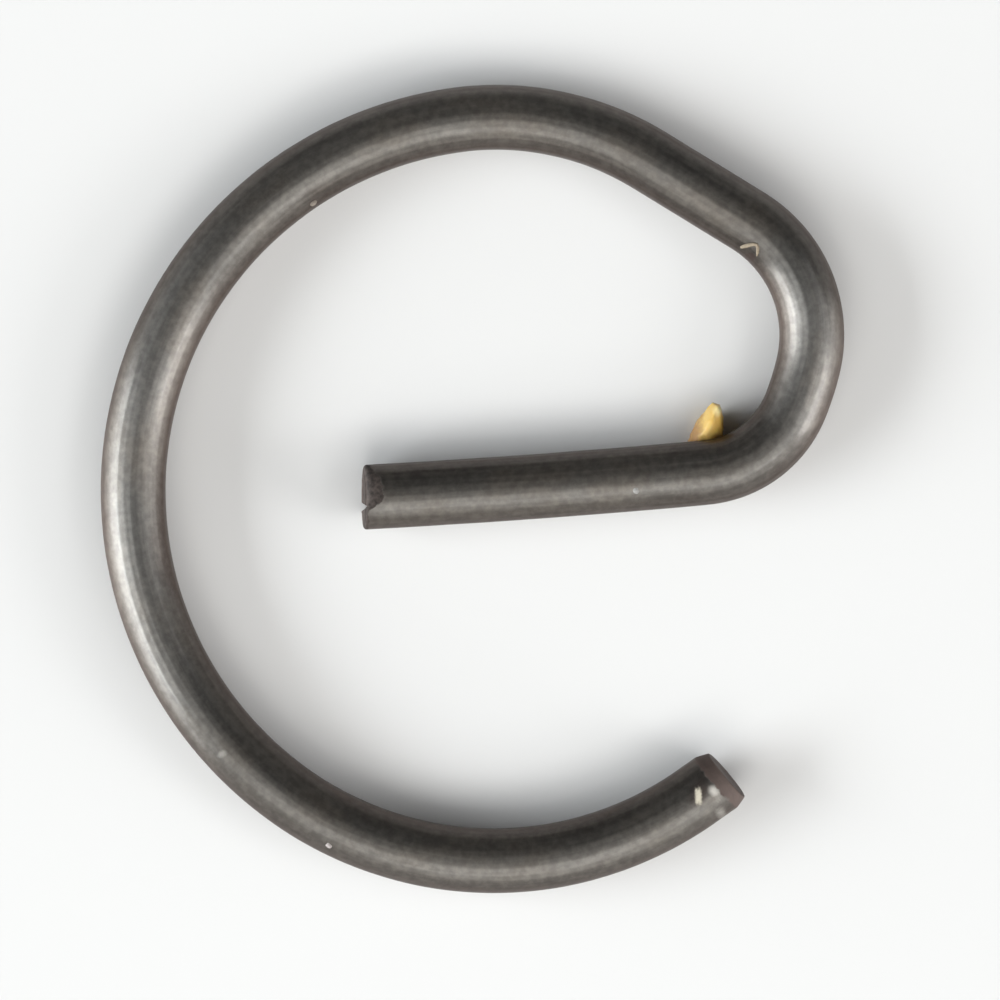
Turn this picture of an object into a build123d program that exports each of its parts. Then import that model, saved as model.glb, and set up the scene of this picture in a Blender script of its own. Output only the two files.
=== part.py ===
from build123d import *
from math import cos, degrees, radians, sin, tan
import os

# Piston pin circlip: one length of round spring wire, bent into an open ring with a tang across it.
# The origin is the centre of the ring's round arc, halfway through the wire, and +Z is the ring's axis.
# Lengths are in millimetres and angles in degrees. Bends are given by their inside radius.

# Wire and ring, at its free size outside the groove
wire_diameter = 0.90
ring_outer_diameter = 11.30
ring_angle = 134.9

# Tail: the arm that ends the ring, wound a little tighter, with a short straight end
tail_inside_radius = 4.43
tail_angle = 72.2
tail_end_length = 0.52

# Bends that lead from the ring's other end back to the tang
knuckle_inside_radius = 3.64
knuckle_angle = 39.6
shoulder_length = 1.59
upper_bend_inside_radius = 1.41
upper_bend_angle = 71.4
nose_inside_radius = 3.33
nose_angle = 9.0
lower_bend_inside_radius = 1.05
lower_bend_angle = 62.9

# Tang: the arm across the ring's middle, by which the clip is gripped. It is bowed very slightly.
tang_length = 4.76
tang_bow_radius = 126.0
tang_tilt = 5.2

# Sheared ends: both faces lean back a little, and the tail's has a long bevel round its rim
tail_cut_lean = 5.0
tail_cut_skew = 5.0
tail_bevel_length = 0.19
tail_bevel_depth = 0.062
tail_edge_radius = 0.03
tang_cut_lean = 5.0
tang_cut_skew = 3.0
tang_edge_radius = 0.05

# Tear in the tang's end face, an upright notch that the shear left beside its lower corner
tear_depth = 0.065
tear_angle = 61.0
tear_offset = 0.13

# Sizes that follow from those above
wire_radius = wire_diameter / 2
ring_radius = ring_outer_diameter / 2 - wire_radius
ring_start_angle = tang_tilt + lower_bend_angle + nose_angle + upper_bend_angle + knuckle_angle - 90
tang_bow_angle = degrees(tang_length / tang_bow_radius)
cut_overrun = wire_diameter
tear_half_width = (wire_radius + tear_depth) * tan(radians(tear_angle / 2))

with BuildPart() as circlip:
    # The centreline runs both ways from the ring's round arc, each stretch tangent to the one before.
    with BuildLine():
        ring = CenterArc((0, 0), ring_radius, ring_start_angle, ring_angle)
        tail = JernArc(ring @ 1, ring % 1, tail_inside_radius + wire_radius, tail_angle)
        tail_end = tail @ 1 + (tail % 1) * tail_end_length
        Line(tail @ 1, tail_end + (tail % 1) * cut_overrun)

        knuckle = JernArc(ring @ 0, -(ring % 0), knuckle_inside_radius + wire_radius, -knuckle_angle)
        shoulder = Line(knuckle @ 1, knuckle @ 1 + (knuckle % 1) * shoulder_length)
        upper_bend = JernArc(
            shoulder @ 1, shoulder % 1, upper_bend_inside_radius + wire_radius, -upper_bend_angle
        )
        nose = JernArc(upper_bend @ 1, upper_bend % 1, nose_inside_radius + wire_radius, -nose_angle)
        lower_bend = JernArc(nose @ 1, nose % 1, lower_bend_inside_radius + wire_radius, -lower_bend_angle)
        tang = JernArc(lower_bend @ 1, lower_bend % 1, tang_bow_radius, -tang_bow_angle)
        tang_tip = Line(tang @ 1, tang @ 1 + (tang % 1) * cut_overrun)

    with BuildSketch(Plane(origin=tang_tip @ 1, z_dir=-(tang_tip % 1))):
        Circle(wire_radius)
    sweep()

    # Each end is sheared off by a leaning plane, whose normal points out of the wire and upwards.
    tail_out = (tail % 1).rotate(Axis.Z, tail_cut_skew)
    tail_cut = Plane(
        origin=tail_end,
        z_dir=tail_out * cos(radians(tail_cut_lean)) + Vector(0, 0, sin(radians(tail_cut_lean))),
    )
    tang_out = (tang % 1).rotate(Axis.Z, -tang_cut_skew)
    tang_cut = Plane(
        origin=tang @ 1,
        z_dir=tang_out * cos(radians(tang_cut_lean)) + Vector(0, 0, sin(radians(tang_cut_lean))),
    )
    with BuildSketch(tail_cut, tang_cut):
        Circle(wire_diameter)
    extrude(amount=cut_overrun + wire_diameter, mode=Mode.SUBTRACT)

    # The tail's rim is bevelled, and then the edges of both cuts are rounded.
    tail_face = circlip.faces().filter_by(GeomType.PLANE).sort_by_distance(tail_end)[0]
    chamfer(tail_face.edges(), tail_bevel_depth, tail_bevel_length, reference=tail_face)
    cut_faces = circlip.faces().filter_by(GeomType.PLANE)
    tail_edges = cut_faces.sort_by_distance(tail_end)[0].edges()
    tang_edges = cut_faces.sort_by_distance(tang @ 1)[0].edges()
    fillet(tail_edges, tail_edge_radius)
    fillet(tang_edges, tang_edge_radius)

    # The tear is an upright V groove, deepest at the foot of the leaning face.
    across = tang_out.cross(Vector(0, 0, 1))
    with BuildSketch(Plane(tang @ 1 - across * tear_offset, x_dir=tang_out)):
        with BuildLine():
            Polyline(
                (-tear_depth, 0), (wire_radius, tear_half_width), (wire_radius, -tear_half_width), close=True
            )
        make_face()
    extrude(amount=wire_diameter, both=True, mode=Mode.SUBTRACT)

circlip.part.label = "circlip"

os.makedirs("parts", exist_ok=True)
export_step(circlip.part, "parts/circlip.step")
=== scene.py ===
import math
from collections import namedtuple

import bmesh
import bpy
import numpy as np
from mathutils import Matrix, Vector, noise


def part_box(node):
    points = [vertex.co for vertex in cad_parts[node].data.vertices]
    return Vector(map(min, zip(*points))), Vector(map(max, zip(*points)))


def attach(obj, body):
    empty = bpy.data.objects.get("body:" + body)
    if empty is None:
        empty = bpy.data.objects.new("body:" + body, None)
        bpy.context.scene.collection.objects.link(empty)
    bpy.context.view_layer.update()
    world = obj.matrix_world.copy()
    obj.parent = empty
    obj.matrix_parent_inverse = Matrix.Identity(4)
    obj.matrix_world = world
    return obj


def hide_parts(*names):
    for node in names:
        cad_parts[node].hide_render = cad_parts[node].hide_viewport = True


# Piston pin circlip: dark drawn spring wire, bent into an open ring with a tang, lying on pale paper.
# Lengths are in metres and angles in degrees, in the CAD model's own frame, unless a comment or a name
# says otherwise.

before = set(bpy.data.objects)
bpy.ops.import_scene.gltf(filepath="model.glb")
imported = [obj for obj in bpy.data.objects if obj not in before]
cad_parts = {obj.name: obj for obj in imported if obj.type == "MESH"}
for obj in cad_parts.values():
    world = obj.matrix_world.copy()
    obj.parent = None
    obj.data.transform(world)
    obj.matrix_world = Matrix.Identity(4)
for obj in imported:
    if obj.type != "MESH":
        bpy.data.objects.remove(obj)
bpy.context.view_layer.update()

MM = 0.001
MICRON = 1e-6
NODE = "circlip"
BODY = "root"

# Sizes of the bent wire, the same as in the CAD model
node_low, node_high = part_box(NODE)
wire_radius = (node_high.z - node_low.z) / 2
ring_radius = -node_low.x - wire_radius
ring_angle = 134.9
tail_inside_radius = 4.43 * MM
tail_angle = 72.2
tail_end_length = 0.52 * MM
knuckle_inside_radius = 3.64 * MM
knuckle_angle = 39.6
shoulder_length = 1.59 * MM
upper_bend_inside_radius = 1.41 * MM
upper_bend_angle = 71.4
nose_inside_radius = 3.33 * MM
nose_angle = 9.0
lower_bend_inside_radius = 1.05 * MM
lower_bend_angle = 62.9
tang_length = 4.76 * MM
tang_bow_radius = 126.0 * MM
tang_tilt = 5.2
tail_cut_lean = 5.0
tail_cut_skew = 5.0
tail_bevel_length = 0.19 * MM
tail_bevel_depth = 0.062 * MM
tail_edge_radius = 0.03 * MM
tang_cut_lean = 5.0
tang_cut_skew = 3.0
tang_edge_radius = 0.05 * MM
tear_depth = 0.065 * MM
tear_angle = 61.0
tear_offset = 0.13 * MM

# How the photograph frames the ring, in its pixels
PHOTO_WIDTH = 1000
RING_CENTRE_PX = (507.6, 490.9)
PX_PER_MM = 72.02
METRES_PER_PX = MM / PX_PER_MM


def photo_point(x, y):
    """The place of a photograph pixel in the frame's XY plane."""
    return ((x - RING_CENTRE_PX[0]) * METRES_PER_PX, (RING_CENTRE_PX[1] - y) * METRES_PER_PX)


def smoothstep(low, high, value):
    """0 below low, 1 above high and a smooth rise between them."""
    t = np.clip((value - low) / (high - low), 0.0, 1.0)
    return t * t * (3 - 2 * t)


def tangent_of(degrees):
    return math.tan(math.radians(degrees))


# Centreline

NEAREST_STEPS = 6000


class Centreline:
    """Tangent straights and arcs from the tang's cut end to the tail's, all turning left."""

    def __init__(self):
        # Each stretch is (radius, angle turned), or (None, length) where it is straight.
        stretches = [
            (tang_bow_radius, math.degrees(tang_length / tang_bow_radius)),
            (lower_bend_inside_radius + wire_radius, lower_bend_angle),
            (nose_inside_radius + wire_radius, nose_angle),
            (upper_bend_inside_radius + wire_radius, upper_bend_angle),
            (None, shoulder_length),
            (knuckle_inside_radius + wire_radius, knuckle_angle),
            (ring_radius, ring_angle),
            (tail_inside_radius + wire_radius, tail_angle),
            (None, tail_end_length),
        ]
        ring_index = 6
        heading = math.radians(tang_tilt - stretches[0][1])
        point = np.zeros(2)
        rows = []
        start = 0.0
        for radius, size in stretches:
            curvature = 1 / radius if radius else 0.0
            length = radius * math.radians(size) if radius else size
            rows.append((start, point[0], point[1], heading, curvature))
            point = point + self._step(heading, curvature, length)
            heading += curvature * length
            start += length
        self.length = start
        self.rows = np.array(rows)
        # The ring's centre is the frame's origin.
        ring = self.rows[ring_index]
        centre = ring[1:3] + np.array((-math.sin(ring[3]), math.cos(ring[3]))) / ring[4]
        self.rows[:, 1:3] -= centre

    @staticmethod
    def _step(heading, curvature, length):
        """The move from one end of a stretch to the other."""
        if curvature == 0:
            return np.array((math.cos(heading), math.sin(heading))) * length
        end = heading + curvature * length
        turn = (math.sin(end) - math.sin(heading), math.cos(heading) - math.cos(end))
        return np.array(turn) / curvature

    def at(self, along):
        """Points and left-hand normals at these lengths along the wire."""
        along = np.asarray(along, float)
        index = np.searchsorted(self.rows[:, 0], along, side="right") - 1
        index = np.clip(index, 0, len(self.rows) - 1)
        start, x, y, heading, curvature = (self.rows[index, column] for column in range(5))
        run = along - start
        end = heading + curvature * run
        bent = curvature != 0
        safe = np.where(bent, curvature, 1.0)
        dx = np.where(bent, (np.sin(end) - np.sin(heading)) / safe, run * np.cos(heading))
        dy = np.where(bent, (np.cos(heading) - np.cos(end)) / safe, run * np.sin(heading))
        return x + dx, y + dy, -np.sin(end), np.cos(end)

    def nearest(self, x, y):
        """Length along the wire and sideways offset, plus to the left, of a point beside it."""
        steps = np.linspace(0, self.length, NEAREST_STEPS)
        px, py, left_x, left_y = self.at(steps)
        i = int(np.argmin((px - x) ** 2 + (py - y) ** 2))
        return steps[i], (x - px[i]) * left_x[i] + (y - py[i]) * left_y[i]

    def place(self, along, offset, height):
        """Frame coordinates of points given along the wire, sideways from it and above its middle."""
        x, y, left_x, left_y = self.at(along)
        return np.stack([x + left_x * offset, y + left_y * offset, height + 0 * x], -1)


path = Centreline()

# How finely the wire is meshed
AROUND = 144
SIDE_STEP = 0.08 * MM
END_STEP = 0.02 * MM
END_ZONE = 0.7 * MM
RIM_ROWS = 9
BEVEL_ROWS = 10
CAP_ROWS = 18
SHARP_ANGLE = 40

# Grooves left by drawing the wire, and slow waves, with their phases in radians
RELIEF_SEED = 7
GROOVE_COUNT = 26
GROOVE_HEIGHT = 0.35 * MICRON
GROOVES_ROUND = (9, 34)
GROOVE_DRIFT = 0.06 / MM
GROOVE_FADE_LENGTHS = (2 * MM, 9 * MM)
GROOVE_FADE_PHASES = (0, 6)
WAVE_COUNT = 5
WAVE_HEIGHT = 1.6 * MICRON
WAVE_LENGTHS = (0.5 * MM, 2.0 * MM)
WAVES_ROUND = (1, 4)
FULL_TURN = (0, 2 * math.pi)

# Roughness of the sheared faces. A fractal is (falloff, lacunarity, octaves).
TANG_SEED = 3.0
TAIL_SEED = 11.0
FACE_GRAIN_HEIGHT = 9 * MICRON
FACE_GRAINS_PER_MM = 9
FACE_FRACTAL = (0.8, 2.0, 4)
DRAG_LINE_HEIGHT = 4 * MICRON
DRAG_LINES_PER_MM = (26, 2.5)
DRAG_SEED_STEP = 5
TORN_BELOW = -0.05 * MM
SMOOTH_ABOVE = 0.15 * MM
SMOOTH_GRAIN_SHARE = 0.35
FACE_MARGIN = 1 / 8

# Rims of the sheared faces. The droop's limits are shares of the wire's radius, to the left and upwards.
BEVEL_START_SHARE = 0.15
TANG_DROOP_LENGTH = 0.20 * MM
TANG_DROOP_DEPTH = 0.05 * MM
DROOP_RISE = (-0.52, -0.05)
DROOP_FADE = (0.3, 1.0)
DROOP_FADE_SHARE = 0.85
DROOP_UPWARD_RISE = (-0.1, 0.35)

# How the brown steel of the cuts sets in, and how far it is darkened
CUT_BLEND = 0.08 * MM
RIM_DARKENING_FADE = (0.6, 1.0)
TAIL_RIM_DARKENING = 0.10
TAIL_FACE_DARKENING = 0.70
TANG_FACE_DARKENING = 0.75
TANG_DARKENING_RISE = (-0.45, 0.25)

# Names of the masks that the steel's materials read
# The scrape is a real nick; its pale colour is a painted glint.
SCRAPE_GLINT = "bare"
# Pale smears; one of them is a painted glint.
SMEAR_AND_GLINT = "smear"
DARK_PATCH = "stain"
END_DARKENING = "darkening"
CUT = "cut"

# How a mark's edge runs: (power that squares its corners, share of it at full strength)
BLUNT_MARK = (4, 0.3)
SOFT_MARK = (2, 0.1)
MARK_EDGE = 1.15
SCRAPE_DEPTH = 3 * MICRON

# Marks on the blackened skin, placed by their length along the wire and their sideways offset
Mark = namedtuple("Mark", "kind along offset length width slant strength")
marks = [
    # A real nick, whose cream colour is a painted glint
    Mark(SCRAPE_GLINT, path.length - 0.494 * MM, 0.016 * MM, 0.33 * MM, 0.14 * MM, 57, 1.0),
    Mark(SMEAR_AND_GLINT, *path.nearest(*photo_point(223.5, 752.5)), 0.22 * MM, 0.14 * MM, 75, 0.5),
    # A painted glint beside the scrape
    Mark(SMEAR_AND_GLINT, path.length - 0.278 * MM, -0.045 * MM, 0.24 * MM, 0.20 * MM, 100, 1.0),
    Mark(SMEAR_AND_GLINT, path.length - 0.29 * MM, -0.17 * MM, 0.26 * MM, 0.18 * MM, 90, 0.25),
    Mark(SMEAR_AND_GLINT, path.length - 0.375 * MM, -0.37 * MM, 0.28 * MM, 0.22 * MM, 80, 0.5),
    Mark(DARK_PATCH, path.length - 0.44 * MM, 0.08 * MM, 0.75 * MM, 0.42 * MM, 30, 1.0),
    # A darker brown patch just below the fibre's end
    Mark(DARK_PATCH, *path.nearest(*photo_point(749, 258)), 0.26 * MM, 0.20 * MM, 20, 1.5),
]


def mark_mask(mark, along, offset, height):
    """A mark's strength inside it and 0 outside it, on the wire's upper half.

    The scrape, a real nick with a painted glint, is blunt and the other kinds are soft.
    """
    c, s = math.cos(math.radians(mark.slant)), math.sin(math.radians(mark.slant))
    da, do = along - mark.along, offset - mark.offset
    ends = np.abs(da * c + do * s) / (mark.length / 2)
    sides = np.abs(do * c - da * s) / (mark.width / 2)
    power, core = BLUNT_MARK if mark.kind == SCRAPE_GLINT else SOFT_MARK
    reach = (ends ** power + sides ** power) ** (1 / power)
    return mark.strength * (1 - smoothstep(core, MARK_EDGE, reach)) * (height > 0)


def side_steps():
    """Lengths along the wire of its side's rings of points, closer together near the ends and the marks."""
    steps = list(np.arange(0, path.length, SIDE_STEP))
    fine = [(0, END_ZONE), (path.length, END_ZONE)] + [(mark.along, mark.length) for mark in marks]
    for centre, reach in fine:
        steps += list(np.arange(centre - reach, centre + reach, END_STEP))
    steps = np.array(sorted(steps))
    apart = np.concatenate([[True], np.diff(np.round(steps / (END_STEP / 2))) > 0])
    between_rims = (steps > END_STEP / 2) & (steps < path.length - END_STEP / 2)
    return steps[apart & between_rims]


def surface_relief(along, angle):
    """Height of drawn grooves and slow waves on the wire's surface."""
    random = np.random.RandomState(RELIEF_SEED)
    height = np.zeros(np.broadcast(along, angle).shape)
    for _ in range(GROOVE_COUNT):
        count = random.randint(*GROOVES_ROUND)
        drift = random.uniform(-GROOVE_DRIFT, GROOVE_DRIFT)
        phase = random.uniform(*FULL_TURN)
        fade_length = random.uniform(*GROOVE_FADE_LENGTHS)
        fade = 0.5 + 0.5 * np.sin(along / fade_length + random.uniform(*GROOVE_FADE_PHASES))
        height += GROOVE_HEIGHT * fade * np.cos(count * angle + drift * along + phase)
    for _ in range(WAVE_COUNT):
        wave_length = random.uniform(*WAVE_LENGTHS)
        count = random.randint(*WAVES_ROUND)
        phase = random.uniform(*FULL_TURN)
        wave = np.sin(2 * math.pi * along / wave_length + count * angle + phase)
        height += WAVE_HEIGHT / WAVE_COUNT * wave
    return height


def fracture(offset, height, seed):
    """Roughness of a sheared face: fine drag lines, and grain that is stronger low down, where it tore."""
    smooth = np.clip((height - TORN_BELOW) / (SMOOTH_ABOVE - TORN_BELOW), 0.0, 1.0)
    grain_height = FACE_GRAIN_HEIGHT * (1 - (1 - SMOOTH_GRAIN_SHARE) * smooth)
    rough = np.zeros(offset.shape)
    for i, (o, h) in enumerate(zip(offset / MM, height / MM)):
        grain_place = Vector((o * FACE_GRAINS_PER_MM, h * FACE_GRAINS_PER_MM, seed))
        line_place = Vector((o * DRAG_LINES_PER_MM[0], h * DRAG_LINES_PER_MM[1], seed + DRAG_SEED_STEP))
        rough[i] = grain_height[i] * noise.fractal(grain_place, *FACE_FRACTAL)
        rough[i] += DRAG_LINE_HEIGHT * noise.noise(line_place)
    return rough


def tail_face(offset, height):
    """How far the tail's sheared face stands out past the middle of the cut."""
    return -tangent_of(tail_cut_lean) * height - tangent_of(tail_cut_skew) * offset


def tang_face(offset, height):
    """How far the tang's sheared face stands out past the middle of the cut, with its tear."""
    plane = -tangent_of(tang_cut_lean) * height - tangent_of(tang_cut_skew) * offset
    tear = np.abs(offset + tear_offset) / tangent_of(tear_angle / 2) - tear_depth
    return np.minimum(plane, tear)


def tail_rim(angle):
    """Rows of (setback from the cut, depth below the side) of the tail's rim.

    It is a bevel with a rounded edge, the same all the way round.
    """
    slope = math.atan2(tail_bevel_depth, tail_bevel_length)
    tangent = tail_edge_radius * math.tan(math.pi / 4 - slope / 2)
    bevel_run = math.hypot(tail_bevel_depth, tail_bevel_length) - tangent
    rows = []
    for share in np.linspace(0, 1, BEVEL_ROWS, endpoint=False):
        # The bevel leaves the wire's side in a soft curve and runs straight from there.
        sunk_share = share ** 2 / (share + BEVEL_START_SHARE) * (1 + BEVEL_START_SHARE)
        setback = tail_bevel_length - share * bevel_run * math.cos(slope)
        rows.append((setback, sunk_share * bevel_run * math.sin(slope)))
    for turn in np.linspace(slope, math.pi / 2, RIM_ROWS):
        setback = tail_edge_radius * (1 - math.sin(turn))
        rows.append((setback, tail_bevel_depth + tangent - tail_edge_radius * math.cos(turn)))
    return rows


def tang_rim(angle):
    """Rows of (setback, depth) of the tang's rim, which droops along its top, where the shear came in."""
    across, up = np.cos(angle), np.sin(angle)
    droop = smoothstep(*DROOP_RISE, across) * (1 - DROOP_FADE_SHARE * smoothstep(*DROOP_FADE, across))
    droop = droop * smoothstep(*DROOP_UPWARD_RISE, up)
    length = tang_edge_radius + TANG_DROOP_LENGTH * droop
    depth = tang_edge_radius + TANG_DROOP_DEPTH * droop
    turns = np.linspace(0, math.pi / 2, RIM_ROWS)
    return [(length * (1 - math.sin(turn)), depth * (1 - math.cos(turn))) for turn in turns]


def tail_darkening(rim_share, height):
    """How dark the tail's end is: brown on the bevel and darkened on the face."""
    return TAIL_FACE_DARKENING + (TAIL_RIM_DARKENING - TAIL_FACE_DARKENING) * rim_share + 0 * height


def tang_darkening(rim_share, height):
    """How dark the tang's end is: darkened all over its drooping rim and the top of its face."""
    return np.maximum(rim_share, TANG_FACE_DARKENING * smoothstep(*TANG_DARKENING_RISE, height / wire_radius))


def near_darkening(along, height):
    """The darkening of the nearer end's rim, carried on along the side.

    The side shows it where the ragged edge of the cut's brown steel reaches past the rim.
    """
    darkening = tang_darkening if along < path.length / 2 else tail_darkening
    return darkening(1.0, height)


def cut_share(past):
    """How far the skin has given way to the cut's brown steel, this far past the start of the rim."""
    return smoothstep(-CUT_BLEND, CUT_BLEND, past + np.zeros(AROUND))


def end_rows(face, rim, darkening, seed, angle):
    """Rows from an end's rim to the middle of its face.

    Each is (outward reach, sideways offset, height, whether it lies on the face, darkening, cut share).
    """
    rim_rows = rim(angle)
    last = len(rim_rows) - 1
    rows = []
    for number, (setback, depth) in enumerate(rim_rows):
        radius = wire_radius - depth
        offset, height = radius * np.cos(angle), radius * np.sin(angle)
        reach = face(offset, height) - setback
        rim_share = 1 - smoothstep(*RIM_DARKENING_FADE, number / last)
        cut = cut_share(rim_rows[0][0] - setback)
        rows.append((reach, offset, height, number == last, darkening(rim_share, height), cut))
    face_radius = wire_radius - rim_rows[last][1]
    for share in np.linspace(1, 0, CAP_ROWS)[1:-1]:
        radius = face_radius * share
        offset, height = radius * np.cos(angle), radius * np.sin(angle)
        fade = min(1.0, (1 - share) / FACE_MARGIN)
        reach = face(offset, height) + fade * fracture(offset, height, seed)
        rows.append((reach, offset, height, True, darkening(0.0, height), np.ones(AROUND)))
    return rows


def side_section(step, along, angle):
    """Sideways offsets and heights of one ring of the side, with its relief and the scrapes' dents."""
    radius = wire_radius + surface_relief(along, angle)
    offset, height = radius * np.cos(angle), radius * np.sin(angle)
    for mark in marks:
        if mark.kind == SCRAPE_GLINT and abs(mark.along - step) < mark.length:
            dent = SCRAPE_DEPTH * mark_mask(mark, along, offset, height)
            offset, height = offset - dent * np.cos(angle), height - dent * np.sin(angle)
    return offset, height


def side_rows(tang_lean, tail_lean, angle):
    """Rows of the wire's side. Near an end, they lean over gradually to lie parallel to the cut."""
    rows = []
    for step in side_steps():
        along = step + tang_lean * (1 - smoothstep(0, END_ZONE, step))
        along += tail_lean * smoothstep(path.length - END_ZONE, path.length, step)
        offset, height = side_section(step, along, angle)
        cut = np.maximum(cut_share(-step), cut_share(step - path.length))
        rows.append((along, offset, height, False, near_darkening(step, height), cut))
    return rows


def wire_rows():
    """Rings of points from the middle of the tang's face to the middle of the tail's.

    Each is (lengths along the wire, offsets, heights, whether it lies on a face, darkening, cut shares).
    """
    angle = np.linspace(*FULL_TURN, AROUND, endpoint=False)
    tang_end = end_rows(tang_face, tang_rim, tang_darkening, TANG_SEED, angle)
    tail_end = end_rows(tail_face, tail_rim, tail_darkening, TAIL_SEED, angle)
    rows = [(-reach, *rest) for reach, *rest in reversed(tang_end)]
    rows += side_rows(-tang_end[0][0], tail_end[0][0], angle)
    return rows + [(path.length + reach, *rest) for reach, *rest in tail_end]


def tube_faces(rings, sides):
    """Four-sided faces between neighbouring rings of points."""
    faces = []
    for ring in range(rings - 1):
        near, far = ring * sides, (ring + 1) * sides
        for k in range(sides):
            n = (k + 1) % sides
            faces.append((near + k, near + n, far + n, far + k))
    return faces


def cap_faces(rings):
    """Triangles that close both ends of the wire, each round the point in the middle of its face."""
    tang_middle, tail_middle, last = rings * AROUND, rings * AROUND + 1, (rings - 1) * AROUND
    faces = []
    for k in range(AROUND):
        n = (k + 1) % AROUND
        faces.append((tang_middle, n, k))
        faces.append((tail_middle, last + k, last + n))
    return faces


def add_wire_uv(mesh, along, quads):
    """Texture coordinates in millimetres, round the wire and along it, for the streaked gloss."""
    corner_points = np.zeros(len(mesh.loops), int)
    mesh.loops.foreach_get("vertex_index", corner_points)
    turns = (corner_points % AROUND) / AROUND
    # The quads that close the round end at a full turn.
    quad_turns = turns[:quads * 4].reshape(-1, 4)
    quad_turns[quad_turns[:, 0] > quad_turns[:, 1], 1:3] = 1.0
    uv = np.stack([turns * 2 * math.pi * wire_radius, along[corner_points]], -1) / MM
    mesh.uv_layers.new(name="wire_uv").data.foreach_set("uv", uv.astype(np.float32).ravel())


def add_wire_masks(mesh, wire_space, darkening, cut):
    """The wire's straightened coordinates in millimetres, and its masks of darkening, cuts and marks."""
    straightened = mesh.attributes.new("wire_space", "FLOAT_VECTOR", "POINT")
    straightened.data.foreach_set("vector", (wire_space / MM).astype(np.float32).ravel())
    masks = {END_DARKENING: darkening, CUT: cut}
    for kind in (SCRAPE_GLINT, SMEAR_AND_GLINT, DARK_PATCH):
        same_kind = [mark_mask(mark, *wire_space.T) for mark in marks if mark.kind == kind]
        masks[kind] = np.max(same_kind, axis=0)
    for name, mask in masks.items():
        attribute = mesh.attributes.new(name, "FLOAT", "POINT")
        attribute.data.foreach_set("value", mask.astype(np.float32))


def make_wire():
    """The wire as one closed tube: the tang's face, the long side and the tail's face."""
    columns = (np.array(column) for column in zip(*wire_rows()))
    along, offset, height, on_face, darkening, cut = columns
    middles = [(-tang_face(0.0, 0.0), 0.0, 0.0), (path.length, 0.0, 0.0)]
    wire_space = np.concatenate([np.stack([along, offset, height], -1).reshape(-1, 3), middles])
    rings = len(along)
    quads, caps = tube_faces(rings, AROUND), cap_faces(rings)
    sheared = np.repeat(on_face[:-1] & on_face[1:], AROUND)

    mesh = bpy.data.meshes.new("circlip_wire")
    mesh.from_pydata(path.place(*wire_space.T).tolist(), [], quads + caps)
    mesh.polygons.foreach_set("material_index", sheared.astype(int).tolist() + [1] * len(caps))
    mesh.shade_smooth()
    mesh.set_sharp_from_angle(angle=math.radians(SHARP_ANGLE))
    add_wire_uv(mesh, wire_space[:, 0], len(quads))
    darkening = np.concatenate([darkening.ravel(), [0.0, 0.0]])
    cut = np.concatenate([cut.ravel(), [1.0, 1.0]])
    add_wire_masks(mesh, wire_space, darkening, cut)
    wire = bpy.data.objects.new("circlip_wire", mesh)
    bpy.context.scene.collection.objects.link(wire)
    return wire


# Dirt on the wire

CRUMB_CUTS = 5
CRUMB_BULGE = 0.12
CRUMB_ROUGHNESS = 11 * MICRON
CRUMB_GRAIN_SIZE = 0.06 * MM
CRUMB_FRACTAL = (0.9, 2.0, 4)
FIBRE_RADIUS = 0.031 * MM
FIBRE_CLEARANCE = FIBRE_RADIUS * 0.5
FIBRE_SIDES = 10
FIBRE_FLATNESS = 0.7
FIBRE_TAPER = 0.4
FIBRE_TIP = 0.6
FIBRE_COLOUR = (0.315, 0.258, 0.186)
SPECK_DETAIL = 3
SPECK_FLATNESS = 0.6
SPECK_BULGE = 0.45
SPECK_BULGE_SIZE = 0.45

# The crumb's corners: photograph pixels and height in millimetres. Its lower side is sunk into the wire.
crumb_corners = [
    (718, 408, 0.06), (712, 420, 0.10), (703, 434, 0.06),
    (688.5, 441, -0.20), (690, 447, -0.20), (697, 421, -0.20), (705, 411.5, -0.18), (713, 402.5, -0.12),
    (720, 404.5, -0.10), (723.5, 417, -0.15), (723.5, 430, -0.18), (722, 446, -0.15), (706, 447, -0.12),
    (698, 440, -0.42), (715, 440, -0.42), (716, 412, -0.40), (705, 418, -0.40),
]
# The fibre's course over the upper bend, in photograph pixels
fibre_course = [
    (740, 248.2), (744, 247.2), (748, 246.2), (752, 245.5),
    (755, 246), (756.5, 249), (756.4, 253), (755.8, 257),
]
# Specks: photograph pixels, size and colour
speck_places = [
    (635.5, 490.7, 0.085 * MM, (0.36, 0.35, 0.335)),
    (313.5, 203.5, 0.100 * MM, (0.25, 0.212, 0.178)),
    (329.5, 843.5, 0.085 * MM, (0.43, 0.39, 0.375)),
]


def add_piece(name, mesh, material):
    """One bit of dirt, which rides with the wire."""
    mesh.shade_smooth()
    mesh.materials.append(material)
    piece = bpy.data.objects.new(name, mesh)
    bpy.context.scene.collection.objects.link(piece)
    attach(piece, BODY)
    return piece


def surface_height(x, y):
    """Height of the wire's top surface under a point, at least its middle."""
    _, offset = path.nearest(x, y)
    return math.sqrt(max(0.0, wire_radius ** 2 - offset ** 2))


def make_crumb():
    """A golden crumb lodged against the north side of the tang."""
    mesh = bpy.data.meshes.new("crumb")
    crumb = bmesh.new()
    for x, y, z in crumb_corners:
        crumb.verts.new((*photo_point(x, y), z * MM))
    hull = bmesh.ops.convex_hull(crumb, input=crumb.verts)
    bmesh.ops.delete(crumb, geom=hull["geom_interior"] + hull["geom_unused"], context="VERTS")
    bmesh.ops.subdivide_edges(
        crumb, edges=crumb.edges, cuts=CRUMB_CUTS, use_grid_fill=True, smooth=CRUMB_BULGE
    )
    crumb.normal_update()
    for vertex in crumb.verts:
        grain = noise.fractal(vertex.co / CRUMB_GRAIN_SIZE, *CRUMB_FRACTAL)
        vertex.co += vertex.normal * CRUMB_ROUGHNESS * grain
    bmesh.ops.recalc_face_normals(crumb, faces=crumb.faces)
    crumb.to_mesh(mesh)
    crumb.free()
    return add_piece("crumb", mesh, amber())


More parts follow.
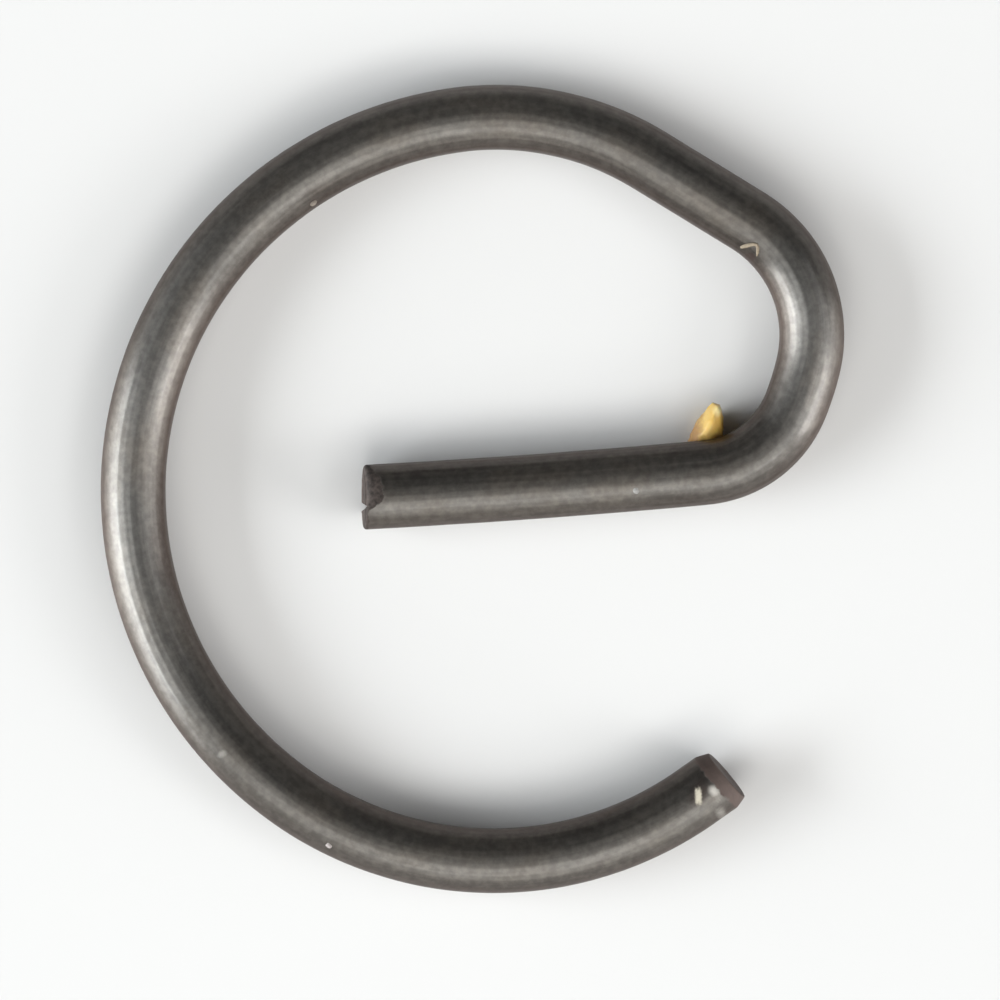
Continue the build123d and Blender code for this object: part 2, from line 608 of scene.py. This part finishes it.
def fibre_ring(centre, ahead, radius):
    """Points of one flattened ring of the fibre, round its centre and across its run."""
    side = ahead.cross(Vector((0, 0, 1))).normalized()
    up = side.cross(ahead).normalized()
    points = []
    for k in range(FIBRE_SIDES):
        a = 2 * math.pi * k / FIBRE_SIDES
        points.append(centre + (side * math.cos(a) + up * math.sin(a) * FIBRE_FLATNESS) * radius)
    return points


def make_fibre():
    """A tan fibre that hooks over the inner side of the upper bend."""
    centres = []
    for x, y in fibre_course:
        px, py = photo_point(x, y)
        centres.append(Vector((px, py, surface_height(px, py) + FIBRE_CLEARANCE)))
    last = len(centres) - 1
    points = []
    for i, centre in enumerate(centres):
        ahead = centres[min(i + 1, last)] - centres[max(i - 1, 0)]
        taper = (1 - FIBRE_TAPER * i / last) * (FIBRE_TIP if i in (0, last) else 1.0)
        points += fibre_ring(centre, ahead, FIBRE_RADIUS * taper)
    faces = tube_faces(len(centres), FIBRE_SIDES)
    faces.append(tuple(range(FIBRE_SIDES - 1, -1, -1)))
    faces.append(tuple(range(last * FIBRE_SIDES, (last + 1) * FIBRE_SIDES)))
    mesh = bpy.data.meshes.new("fibre")
    mesh.from_pydata(points, [], faces)
    return add_piece("fibre", mesh, lint("fibre_lint", FIBRE_COLOUR))


def make_specks():
    """Grains of dust, half sunk into the surface."""
    for number, (x, y, size, colour) in enumerate(speck_places):
        px, py = photo_point(x, y)
        mesh = bpy.data.meshes.new(f"speck_{number}")
        grain = bmesh.new()
        bmesh.ops.create_icosphere(grain, subdivisions=SPECK_DETAIL, radius=size / 2)
        middle = Vector((px, py, surface_height(px, py)))
        for vertex in grain.verts:
            bulge = noise.noise(vertex.co / (size * SPECK_BULGE_SIZE) + Vector((number, 0, 0)))
            vertex.co = vertex.co * (1 + SPECK_BULGE * bulge)
            vertex.co.z *= SPECK_FLATNESS
            vertex.co += middle
        grain.to_mesh(mesh)
        grain.free()
        add_piece(f"speck_{number}", mesh, lint(f"speck_lint_{number}", colour))


# Materials

# Colours of the blackened skin and its marks
OXIDE_DARK = (0.150, 0.144, 0.135)
OXIDE_PALE = (0.232, 0.221, 0.204)
BROWN_PATCH = (0.205, 0.176, 0.146)
MOTTLE_DARK = (0.085, 0.078, 0.072)
MOTTLE_PALE = (0.34, 0.32, 0.29)
FLANK_SHADE_DARK = (0.078, 0.056, 0.046)
# Painted shade: the darker browns of the wire's lower flanks
FLANK_SHADE_PALE = (0.104, 0.077, 0.063)
DARK_PATCH_COLOUR = (0.105, 0.068, 0.060)
# Painted glints: the cream of the scrape and the pale grey of one smear
SCRAPE_GLINT_COLOUR = (0.55, 0.51, 0.41)
SMEAR_AND_GLINT_COLOUR = (0.50, 0.48, 0.44)

# Patterns of the skin, in repeats per millimetre along the wire, across it and up
STREAKS_PER_MM = (0.22, 9.0, 9.0)
BLOTCHES_PER_MM = (0.9, 1.7, 1.7)
MOTTLE_PER_MM = 9.0
GRAIN_PER_MM = 34.0

# How far those patterns move the edges of the marks and of the painted shade on the lower flanks
RAGGEDNESS = 0.9
SMEAR_AND_GLINT_RAGGEDNESS = 0.4
FLANK_WANDER_MM = 0.3

# Gloss of the skin
SKIN_ROUGHNESS = 0.28
STREAK_ROUGHNESS = 0.14
BLOTCH_ROUGHNESS = 0.12
SKIN_ANISOTROPY = 0.82
COAT_WEIGHT = 0.20
COAT_ROUGHNESS = 0.12
STREAK_BUMP = 1.6 * MICRON
GRAIN_BUMP = 0.5 * MICRON

# Steel of the cuts
CUT_BROWN_DARK = (0.096, 0.071, 0.062)
CUT_BROWN_PALE = (0.138, 0.102, 0.090)
CUT_DARKENED_DARK = (0.036, 0.030, 0.027)
CUT_DARKENED_PALE = (0.096, 0.077, 0.069)
CUT_PATCHES_PER_MM = (11.0, 5.0, 5.0)
CUT_FLECKS_PER_MM = 14.0
CUT_GRAIN_PER_MM = 45.0
CUT_ROUGHNESS = 0.45
CUT_PATCH_ROUGHNESS = 0.25
CUT_DARKENED_ROUGHNESS = 0.10
CUT_METAL = 0.45
CUT_SPECULAR = 0.25
CUT_GRAIN_BUMP = 1.5 * MICRON
CUT_EDGE_WANDER = 6.0
CUT_EDGE_RAGGEDNESS = 0.6

# The crumb, whose colour turns from tan to gold between two columns of the photograph's pixels
CRUMB_TAN = (0.42, 0.235, 0.09)
CRUMB_YELLOW = (0.74, 0.505, 0.155)
# The crumb's own gold, made brighter on the right as painted light against its shade
CRUMB_GOLD_AND_PAINTED_LIGHT = (0.74, 0.47, 0.105)
# Painted highlight on the crumb's crest
CRUMB_HIGHLIGHT = (0.95, 0.79, 0.38)
CRUMB_BROWN = (0.34, 0.17, 0.06)
CRUMB_TURN_PX = (694, 718)
CRUMB_HIGHLIGHT_PX = (718, 411)
CRUMB_HIGHLIGHT_RADIUS_PX = 7
CRUMB_BROWN_PX = (718, 440)
CRUMB_BROWN_RADIUS_PX = 8
CRUMB_CLOUDS_PER_MM = 9.0
CRUMB_CLOUDINESS = 0.9
CRUMB_GLOSS_ROUGHNESS = 0.25
CRUMB_CLOUD_ROUGHNESS = 0.3
CRUMB_SUBSURFACE = 0.25
CRUMB_SUBSURFACE_RADIUS = (0.12 * MM, 0.07 * MM, 0.02 * MM)
CRUMB_BUMP = 6 * MICRON

# Lint and paper
LINT_SOIL_PER_MM = 30.0
LINT_SOILED_SHARE = 0.75
LINT_ROUGHNESS = 0.8
LINT_BUMP = 4 * MICRON
PAPER_COLOUR = (0.73, 0.73, 0.725, 1.0)
PAPER_ROUGHNESS = 0.95
PAPER_SPECULAR = 0.1


class Nodes:
    """Short calls for building one material's node tree."""

    # Places of a colour mix's sockets
    MIX_INPUTS = (6, 7)
    MIX_RESULT = 2

    def __init__(self, name):
        self.material = bpy.data.materials.new(name)
        self.material.use_nodes = True
        self.tree = self.material.node_tree
        self.shader = self.tree.nodes["Principled BSDF"]

    def add(self, kind, **settings):
        """A new node of this kind, with these settings."""
        node = self.tree.nodes.new(kind)
        for key, value in settings.items():
            setattr(node, key, value)
        return node

    def link(self, output, target):
        self.tree.links.new(output, target)

    def to_shader(self, output, socket):
        """Links an output to one of the shader's sockets."""
        self.link(output, self.shader.inputs[socket])

    def set_shader(self, socket, value):
        """Sets one of the shader's sockets, the same all over the surface."""
        self.shader.inputs[socket].default_value = value

    def mask(self, name):
        """The value of a mask of the mesh."""
        return self.add("ShaderNodeAttribute", attribute_name=name).outputs["Fac"]

    def wire_space(self):
        """Millimetres along the wire, across it and up."""
        return self.add("ShaderNodeAttribute", attribute_name="wire_space").outputs["Vector"]

    def object_space(self):
        """Metres in the frame."""
        return self.add("ShaderNodeTexCoord").outputs["Object"]

    def axis(self, vector, name):
        """One coordinate of a vector."""
        node = self.add("ShaderNodeSeparateXYZ")
        self.link(vector, node.inputs[0])
        return node.outputs[name]

    def scaled(self, vector, scale):
        """A vector with each coordinate scaled by its own number."""
        node = self.add("ShaderNodeVectorMath", operation="MULTIPLY")
        self.link(vector, node.inputs[0])
        node.inputs[1].default_value = scale
        return node.outputs[0]

    def noise(self, vector, scale, detail, roughness):
        """A noise pattern from 0 to 1. The scale is one number, or one for each axis."""
        if isinstance(scale, tuple):
            vector, scale = self.scaled(vector, scale), 1.0
        node = self.add("ShaderNodeTexNoise")
        self.link(vector, node.inputs["Vector"])
        node.inputs["Scale"].default_value = scale
        node.inputs["Detail"].default_value = detail
        node.inputs["Roughness"].default_value = roughness
        return node.outputs["Fac"]

    def ramp(self, factor, stops):
        """A ramp through (position, colour or grey level)."""
        node = self.add("ShaderNodeValToRGB")
        self.link(factor, node.inputs["Fac"])
        elements = node.color_ramp.elements
        while len(elements) < len(stops):
            elements.new(0.5)
        for element, (position, colour) in zip(elements, stops):
            rgb = colour if isinstance(colour, tuple) else (colour,) * 3
            element.position = position
            element.color = (*rgb, 1.0)
        return node.outputs["Color"]

    def math(self, operation, a, b):
        """An operation on two sockets or numbers."""
        node = self.add("ShaderNodeMath", operation=operation)
        for socket, value in zip(node.inputs, (a, b)):
            if isinstance(value, (int, float)):
                socket.default_value = value
            else:
                self.link(value, socket)
        return node.outputs[0]

    def swing(self, pattern, size):
        """A pattern from 0 to 1 as a swing about 0, of this size from end to end."""
        return self.math("MULTIPLY", self.math("SUBTRACT", pattern, 0.5), size)

    def mix(self, factor, a, b):
        """A mix of two sockets or colours."""
        node = self.add("ShaderNodeMix", data_type="RGBA")
        self.link(factor, node.inputs["Factor"])
        for place, value in zip(self.MIX_INPUTS, (a, b)):
            if isinstance(value, tuple):
                node.inputs[place].default_value = (*value, 1.0)
            else:
                self.link(value, node.inputs[place])
        return node.outputs[self.MIX_RESULT]

    def spot(self, place, centre, radius):
        """1 at a point of the XY plane, fading to 0 at this radius from it."""
        flat = self.scaled(place, (1.0, 1.0, 0.0))
        distance = self.add("ShaderNodeVectorMath", operation="DISTANCE")
        self.link(flat, distance.inputs[0])
        distance.inputs[1].default_value = (*centre, 0.0)
        share = self.math("DIVIDE", distance.outputs["Value"], radius)
        return self.ramp(share, [(0.25, 1.0), (1.0, 0.0)])

    def bump(self, height, distance, normal=None):
        """A normal bent by a pattern that stands this high."""
        node = self.add("ShaderNodeBump")
        self.link(height, node.inputs["Height"])
        node.inputs["Distance"].default_value = distance
        node.inputs["Strength"].default_value = 1.0
        if normal is not None:
            self.link(normal, node.inputs["Normal"])
        return node.outputs["Normal"]


def cut_look(n, space):
    """Colour and roughness of steel laid bare by the shear, gone dull brown, with darker flecks where it is
    darkened.
    """
    patches = n.noise(space, CUT_PATCHES_PER_MM, detail=5.0, roughness=0.65)
    flecks = n.noise(space, CUT_FLECKS_PER_MM, detail=4.0, roughness=0.65)
    darkening = n.mask(END_DARKENING)
    colour = n.ramp(patches, [(0.3, CUT_BROWN_DARK), (0.7, CUT_BROWN_PALE)])
    darkened_colour = n.ramp(flecks, [(0.36, CUT_DARKENED_DARK), (0.64, CUT_DARKENED_PALE)])
    patch_roughness = n.math("MULTIPLY", patches, CUT_PATCH_ROUGHNESS)
    roughness = n.math("ADD", patch_roughness, n.math("MULTIPLY", darkening, CUT_DARKENED_ROUGHNESS))
    return n.mix(darkening, colour, darkened_colour), n.math("ADD", roughness, CUT_ROUGHNESS)


def oxide_skin(n, streaks, blotches, mottle):
    """Colour of the dark skin: streaks along the wire, brown patches, and dark and pale mottling."""
    colour = n.ramp(streaks, [(0.30, OXIDE_DARK), (0.70, OXIDE_PALE)])
    colour = n.mix(n.ramp(blotches, [(0.45, 0.0), (0.72, 0.55)]), colour, BROWN_PATCH)
    colour = n.mix(n.ramp(mottle, [(0.36, 0.26), (0.52, 0.0)]), colour, MOTTLE_DARK)
    return n.mix(n.ramp(mottle, [(0.50, 0.0), (0.68, 0.22)]), colour, MOTTLE_PALE)


def shade_low_flanks(n, colour, space, blotches, mottle):
    """The skin's colour with painted shade on its flanks: darker and browner low on the wire, towards the
    floor.
    """
    level = n.math("ADD", n.axis(space, "Z"), n.swing(blotches, FLANK_WANDER_MM))
    flank_shade = n.ramp(mottle, [(0.36, FLANK_SHADE_DARK), (0.66, FLANK_SHADE_PALE)])
    return n.mix(n.ramp(level, [(0.18, 0.9), (0.39, 0.0)]), colour, flank_shade)


def marked_skin(n, colour, blotches, ragged):
    """The skin's colour with its dark patches, scrape and smears, and how far the pale ones cover it; the
    scrape's cream and one smear are painted glints.
    """
    stain = n.ramp(n.math("MULTIPLY", n.mask(DARK_PATCH), blotches), [(0.15, 0.0), (0.5, 0.6)])
    colour = n.mix(stain, colour, DARK_PATCH_COLOUR)
    # Painted glint on the scrape
    bare = n.ramp(n.math("ADD", n.mask(SCRAPE_GLINT), ragged), [(0.30, 0.0), (0.95, 1.0)])
    colour = n.mix(bare, colour, SCRAPE_GLINT_COLOUR)
    # Pale smears, one of them a painted glint
    smear = n.math("ADD", n.mask(SMEAR_AND_GLINT), n.math("MULTIPLY", ragged, SMEAR_AND_GLINT_RAGGEDNESS))
    smear = n.ramp(smear, [(0.12, 0.0), (0.95, 0.9)])
    return n.mix(smear, colour, SMEAR_AND_GLINT_COLOUR), n.math("MAXIMUM", bare, smear)


def ragged_cut(n, mottle, ragged):
    """How far the skin gives way to the brown of the cuts, with a ragged edge."""
    cut = n.mask(CUT)
    edge = n.math("MULTIPLY", cut, n.math("SUBTRACT", 1.0, cut))
    wander = n.swing(mottle, CUT_EDGE_WANDER)
    wander = n.math("ADD", wander, n.math("MULTIPLY", ragged, CUT_EDGE_RAGGEDNESS))
    share = n.math("ADD", cut, n.math("MULTIPLY", edge, wander))
    return n.ramp(share, [(0.35, 0.0), (0.62, 1.0)])


def blackened_steel():
    """Drawn wire with a dark oxide skin, which has pale and brown marks and is brown round the cuts."""
    n = Nodes("blackened_steel")
    space = n.wire_space()
    streaks = n.noise(space, STREAKS_PER_MM, detail=6.0, roughness=0.62)
    blotches = n.noise(space, BLOTCHES_PER_MM, detail=5.0, roughness=0.6)
    mottle = n.noise(space, MOTTLE_PER_MM, detail=3.0, roughness=0.6)
    grain = n.noise(space, GRAIN_PER_MM, detail=3.0, roughness=0.6)
    ragged = n.swing(grain, RAGGEDNESS)
    colour = oxide_skin(n, streaks, blotches, mottle)
    # Painted shade low on the flanks
    colour = shade_low_flanks(n, colour, space, blotches, mottle)
    colour, pale = marked_skin(n, colour, blotches, ragged)
    brown_steel, dullness = cut_look(n, space)
    cut = ragged_cut(n, mottle, ragged)
    skin = n.math("SUBTRACT", 1.0, cut)
    n.to_shader(n.mix(cut, colour, brown_steel), "Base Color")

    streak_roughness = n.math("MULTIPLY", streaks, STREAK_ROUGHNESS)
    roughness = n.math("ADD", streak_roughness, n.math("MULTIPLY", blotches, BLOTCH_ROUGHNESS))
    roughness = n.math("MULTIPLY", n.math("ADD", roughness, SKIN_ROUGHNESS), skin)
    n.to_shader(n.math("ADD", roughness, n.math("MULTIPLY", dullness, cut)), "Roughness")
    # The painted glints and pale smears are dull, not metal
    metal = n.math("SUBTRACT", 1.0, pale)
    lost = n.math("MULTIPLY", n.math("MINIMUM", metal, 1 - CUT_METAL), cut)
    n.to_shader(n.math("SUBTRACT", metal, lost), "Metallic")
    n.to_shader(n.math("MULTIPLY", skin, COAT_WEIGHT), "Coat Weight")
    n.set_shader("Coat Roughness", COAT_ROUGHNESS)
    n.set_shader("Anisotropic", SKIN_ANISOTROPY)
    round_wire = n.add("ShaderNodeTangent", direction_type="UV_MAP", uv_map="wire_uv")
    n.to_shader(round_wire.outputs[0], "Tangent")
    lines = n.bump(streaks, STREAK_BUMP)
    n.to_shader(n.bump(grain, GRAIN_BUMP, normal=lines), "Normal")
    return n.material


def sheared_steel():
    """The faces of the cuts: dull brown steel, rough where it tore."""
    n = Nodes("sheared_steel")
    space = n.wire_space()
    colour, dullness = cut_look(n, space)
    grain = n.noise(space, CUT_GRAIN_PER_MM, detail=4.0, roughness=0.6)
    n.to_shader(colour, "Base Color")
    n.to_shader(dullness, "Roughness")
    n.set_shader("Metallic", CUT_METAL)
    n.set_shader("Specular IOR Level", CUT_SPECULAR)
    n.to_shader(n.bump(grain, CUT_GRAIN_BUMP), "Normal")
    return n.material


def amber():
    """The crumb: golden on the right, brightened there as painted light, tan on the left, with a painted
    highlight at its top and a brown foot.
    """
    n = Nodes("amber")
    place = n.object_space()
    clouds = n.noise(place, CRUMB_CLOUDS_PER_MM / MM, detail=5.0, roughness=0.6)
    side = n.add("ShaderNodeMapRange")
    n.link(n.axis(place, "X"), side.inputs["Value"])
    for socket, column in zip(("From Min", "From Max"), CRUMB_TURN_PX):
        side.inputs[socket].default_value = photo_point(column, 0)[0]
    tone = n.math("ADD", side.outputs["Result"], n.swing(clouds, CRUMB_CLOUDINESS))
    colour = n.ramp(tone, [(0.1, CRUMB_TAN), (0.5, CRUMB_YELLOW), (0.9, CRUMB_GOLD_AND_PAINTED_LIGHT)])
    # Painted highlight on the crumb's top
    pale = n.spot(place, photo_point(*CRUMB_HIGHLIGHT_PX), CRUMB_HIGHLIGHT_RADIUS_PX * METRES_PER_PX)
    colour = n.mix(pale, colour, CRUMB_HIGHLIGHT)
    brown = n.spot(place, photo_point(*CRUMB_BROWN_PX), CRUMB_BROWN_RADIUS_PX * METRES_PER_PX)
    n.to_shader(n.mix(brown, colour, CRUMB_BROWN), "Base Color")
    cloud_roughness = n.math("MULTIPLY", clouds, CRUMB_CLOUD_ROUGHNESS)
    n.to_shader(n.math("ADD", cloud_roughness, CRUMB_GLOSS_ROUGHNESS), "Roughness")
    n.set_shader("Subsurface Weight", CRUMB_SUBSURFACE)
    n.set_shader("Subsurface Radius", CRUMB_SUBSURFACE_RADIUS)
    n.to_shader(n.bump(clouds, CRUMB_BUMP), "Normal")
    return n.material


def lint(name, colour):
    """Pale dust and fibre, unevenly soiled."""
    n = Nodes(name)
    darkening = n.noise(n.object_space(), LINT_SOIL_PER_MM / MM, detail=3.0, roughness=0.6)
    darker = tuple(LINT_SOILED_SHARE * c for c in colour)
    n.to_shader(n.ramp(darkening, [(0.35, darker), (0.65, colour)]), "Base Color")
    n.set_shader("Roughness", LINT_ROUGHNESS)
    n.to_shader(n.bump(darkening, LINT_BUMP), "Normal")
    return n.material


def paper():
    """Plain pale paper."""
    n = Nodes("paper")
    n.set_shader("Base Color", PAPER_COLOUR)
    n.set_shader("Roughness", PAPER_ROUGHNESS)
    n.set_shader("Specular IOR Level", PAPER_SPECULAR)
    return n.material


# Floor, light and camera

FLOOR_SIZE = 3.0
LIGHT_DISTANCE = 0.5
WORLD_COLOUR = (1, 1, 1, 1)
WORLD_LEVEL = 0.04
WHITE = (1.0, 1.0, 1.0)
WARM = (1.0, 0.985, 0.955)
COOL = (0.94, 0.978, 1.0)
LENS_MM = 200.0
SENSOR_WIDTH_MM = 36.0
CLIP_START = 1 * MM
CLIP_END = 10.0


def make_floor():
    """A plain sheet of paper under the wire, which lies on it."""
    half, z = FLOOR_SIZE / 2, node_low.z
    corners = [(-half, -half, z), (half, -half, z), (half, half, z), (-half, half, z)]
    mesh = bpy.data.meshes.new("paper_floor")
    mesh.from_pydata(corners, [], [(0, 1, 2, 3)])
    mesh.materials.append(paper())
    floor = bpy.data.objects.new("paper_floor", mesh)
    bpy.context.scene.collection.objects.link(floor)


def soft_box(name, azimuths, elevations, radiance, tint=WHITE):
    """A flat light that faces the part and fills these angles; azimuth 0 stands at +X and 90 at +Y."""
    a, e = math.radians(sum(azimuths) / 2), math.radians(sum(elevations) / 2)
    half_width = math.radians(azimuths[1] - azimuths[0]) / 2
    half_height = math.radians(elevations[1] - elevations[0]) / 2
    away = Vector((math.cos(a) * math.cos(e), math.sin(a) * math.cos(e), math.sin(e)))
    light = bpy.data.lights.new(name, "AREA")
    light.shape = "RECTANGLE"
    light.size = 2 * LIGHT_DISTANCE * math.cos(e) * math.tan(half_width)
    light.size_y = 2 * LIGHT_DISTANCE * math.tan(half_height)
    light.energy = radiance * math.pi * light.size * light.size_y
    light.color = tint
    box = bpy.data.objects.new(name, light)
    box.location = away * LIGHT_DISTANCE
    box.rotation_mode = "QUATERNION"
    box.rotation_quaternion = away.to_track_quat("Z", "Y")
    box.visible_camera = False
    bpy.context.scene.collection.objects.link(box)


def make_lights():
    """A window's worth of boxes low in the west, more in the east and south, and a dark north."""
    soft_box("west_low_box", (160, 220), (0, 18), 4.6, COOL)
    soft_box("west_mid_box", (165, 212), (18, 34), 12.2, COOL)
    soft_box("west_peak_box", (181, 194), (4, 36), 3.6, COOL)
    soft_box("west_high_box", (160, 215), (34, 62), 0.4, COOL)
    soft_box("northwest_box", (140, 160), (0, 54), 0.65, COOL)
    soft_box("southwest_box", (220, 253), (38, 66), 2.75, WARM)
    soft_box("south_low_box", (220, 320), (24, 38), 1.1, WARM)
    soft_box("south_mid_box", (253, 320), (38, 52), 4.8, WARM)
    soft_box("south_high_box", (253, 320), (52, 66), 1.7, WARM)
    soft_box("southeast_box", (310, 330), (0, 18), 1.3)
    soft_box("east_low_box", (330, 372), (0, 18), 3.3)
    soft_box("east_mid_box", (328, 352), (18, 32), 9.6)
    soft_box("east_high_box", (325, 360), (32, 46), 1.8)
    soft_box("east_side_box", (352, 376), (18, 46), 1.2)
    soft_box("east_top_box", (310, 390), (46, 58), 1.9)


def make_world():
    """A faint even light from all round, and plain display colours."""
    world = bpy.data.worlds.new("studio")
    world.use_nodes = True
    background = world.node_tree.nodes["Background"]
    background.inputs["Color"].default_value = WORLD_COLOUR
    background.inputs["Strength"].default_value = WORLD_LEVEL
    bpy.context.scene.world = world
    bpy.context.scene.view_settings.view_transform = "Standard"


def make_camera():
    """Straight above the photograph's middle, far enough for a flat long-lens view."""
    data = bpy.data.cameras.new("camera")
    data.lens, data.sensor_width = LENS_MM, SENSOR_WIDTH_MM
    data.clip_start, data.clip_end = CLIP_START, CLIP_END
    frame_width = PHOTO_WIDTH * METRES_PER_PX
    middle = photo_point(PHOTO_WIDTH / 2, PHOTO_WIDTH / 2)
    camera = bpy.data.objects.new("camera", data)
    camera.location = (*middle, frame_width * LENS_MM / SENSOR_WIDTH_MM)
    bpy.context.scene.collection.objects.link(camera)
    bpy.context.scene.camera = camera


wire = make_wire()
wire.data.materials.append(blackened_steel())
wire.data.materials.append(sheared_steel())
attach(wire, BODY)
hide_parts(NODE)
make_crumb()
make_fibre()
make_specks()

make_floor()
make_lights()
make_world()
make_camera()
